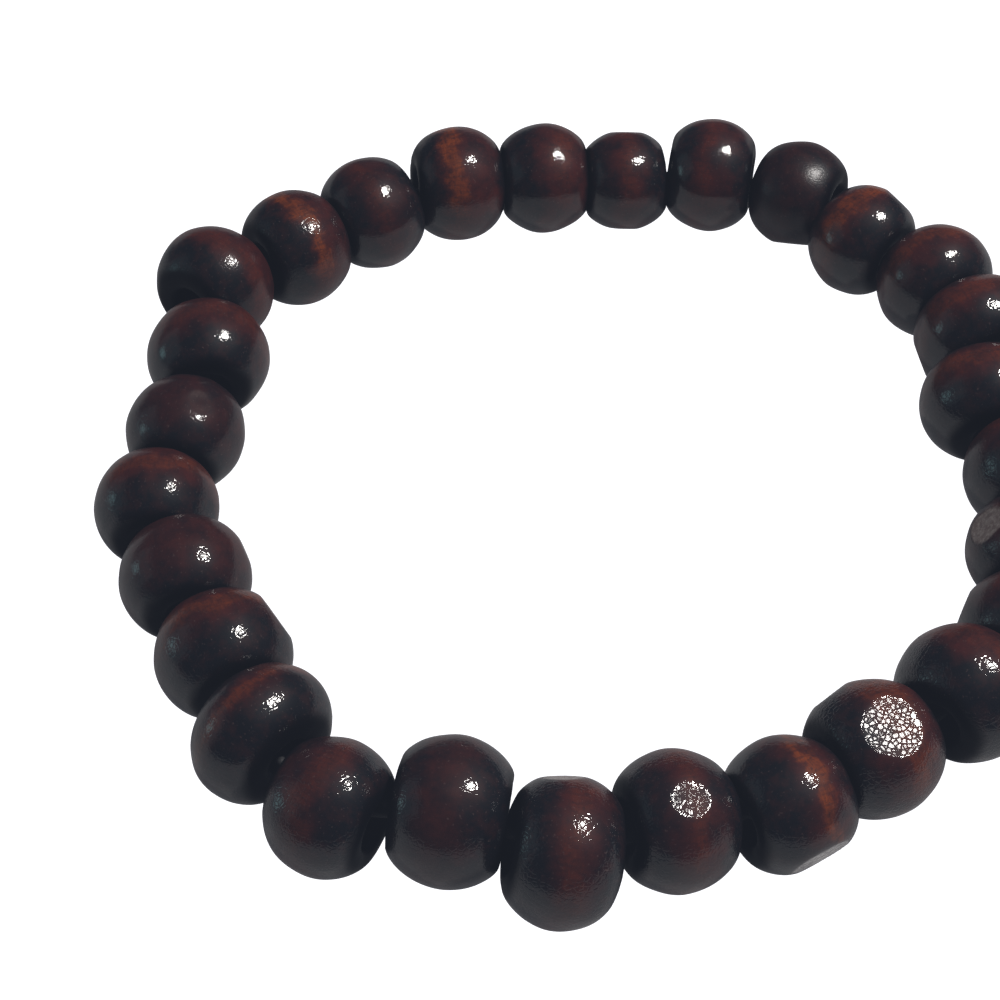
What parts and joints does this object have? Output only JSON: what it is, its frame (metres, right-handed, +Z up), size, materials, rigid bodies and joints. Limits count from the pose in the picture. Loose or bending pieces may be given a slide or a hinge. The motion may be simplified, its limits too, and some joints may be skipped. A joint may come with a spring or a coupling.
{
  "type": "beaded stretch bracelet",
  "caption": "Stretch bracelet of dark lacquered barrel-shaped wooden beads strung on a closed loop of elastic cord, lying in a loose ring",
  "frame": {"origin": "on the surface that the bracelet lies on, under the middle of its outer box", "axes": "+Z up out of the surface and through the wrist opening; +X to the right and +Y away from the viewer in the picture"},
  "size_m": [0.0768, 0.0774, 0.0106],
  "materials": {
    "dark_wood": "glossy lacquer over dark mahogany stain",
    "elastic": "matt black"
  },
  "bodies": {
    "root": {"bead_01": "dark_wood", "bead_02": "dark_wood", "bead_03": "dark_wood", "bead_04": "dark_wood", "bead_05": "dark_wood", "bead_06": "dark_wood", "bead_07": "dark_wood", "bead_08": "dark_wood", "bead_09": "dark_wood", "bead_10": "dark_wood", "bead_11": "dark_wood", "bead_12": "dark_wood", "bead_13": "dark_wood", "bead_14": "dark_wood", "bead_15": "dark_wood", "bead_16": "dark_wood", "bead_17": "dark_wood", "bead_18": "dark_wood", "bead_19": "dark_wood", "bead_20": "dark_wood", "bead_21": "dark_wood", "bead_22": "dark_wood", "bead_23": "dark_wood", "bead_24": "dark_wood", "bead_25": "dark_wood", "bead_26": "dark_wood", "bead_27": "dark_wood", "bead_28": "dark_wood", "elastic_cord": "elastic"}
  },
  "joints": []
}
